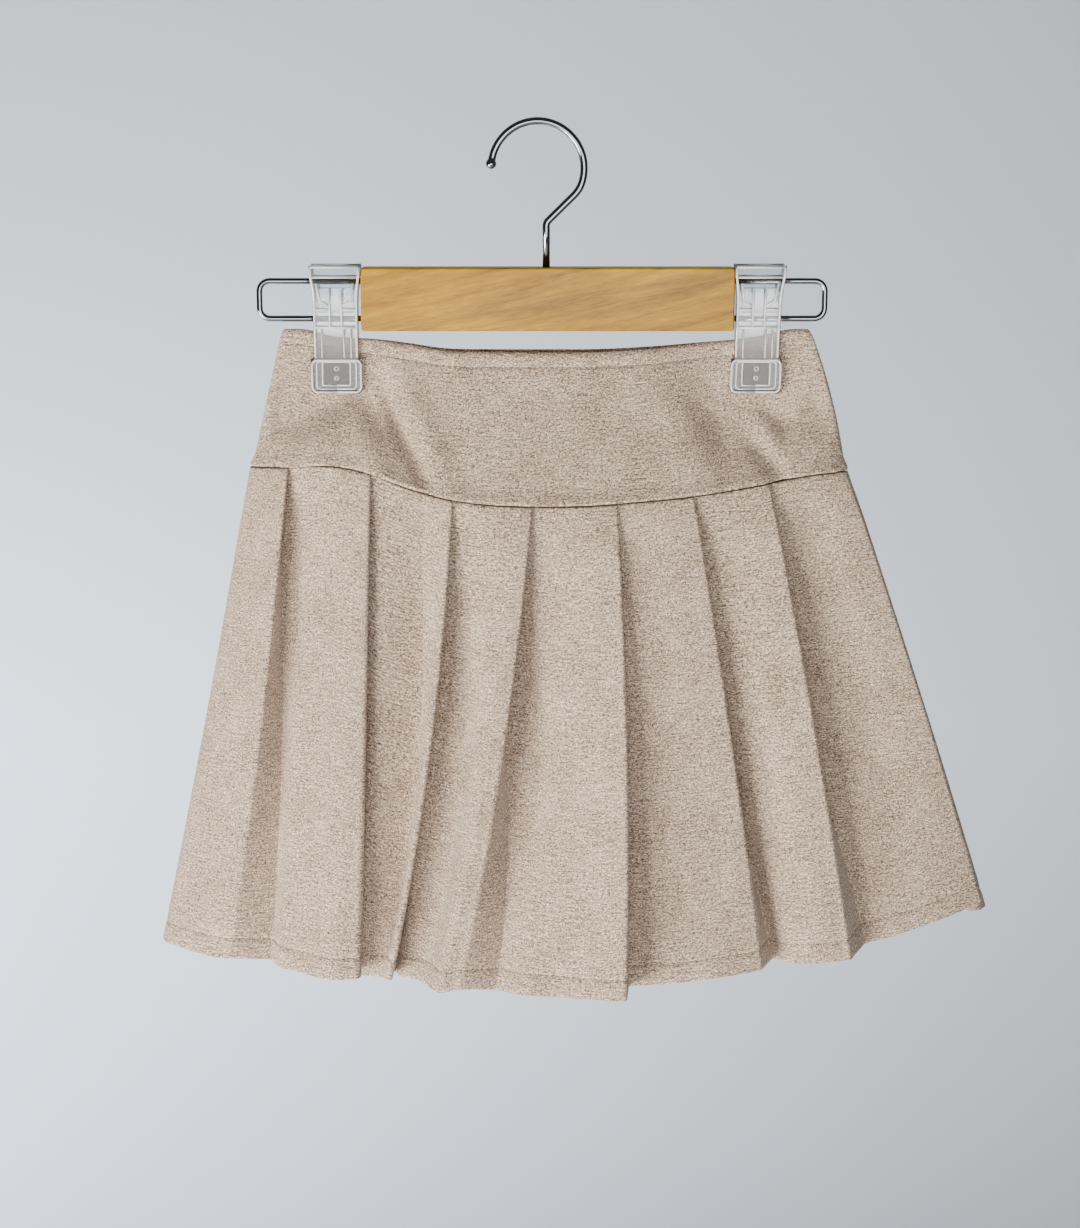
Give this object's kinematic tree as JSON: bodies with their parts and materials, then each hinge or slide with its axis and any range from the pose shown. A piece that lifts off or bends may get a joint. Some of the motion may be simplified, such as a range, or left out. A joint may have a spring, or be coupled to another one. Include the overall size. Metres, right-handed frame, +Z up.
{
  "type": "pleated skirt on a clip hanger",
  "caption": "Short knife-pleated knit skirt with a smooth hip yoke, hanging by its waist from the clear clips of a wire and wood hanger.",
  "frame": {"origin": "inner crown of the hook, straight over its stem, where a rod or peg carries the hanger", "axes": "+Z up, -Y out of the skirt's front, +X to the viewer's right"},
  "size_m": [0.4575, 0.1286, 0.4596],
  "materials": {
    "melange_knit": "oatmeal melange knit with a soft brushed face, matte",
    "varnished_beech": "clear satin varnish",
    "chromed_steel": "bright plated wire",
    "clear_polycarbonate": "clear moulded plastic"
  },
  "bodies": {
    "root": {"yoke_front": "melange_knit", "yoke_back": "melange_knit", "pleats_front": "melange_knit", "pleats_back": "melange_knit", "hanger_bar": "varnished_beech", "hanger_hook": "chromed_steel", "loop_left": "chromed_steel", "loop_right": "chromed_steel", "clip_left_front": "clear_polycarbonate", "clip_left_back": "clear_polycarbonate", "clip_left_hinge": "clear_polycarbonate", "clip_right_front": "clear_polycarbonate", "clip_right_back": "clear_polycarbonate", "clip_right_hinge": "clear_polycarbonate"}
  },
  "joints": []
}
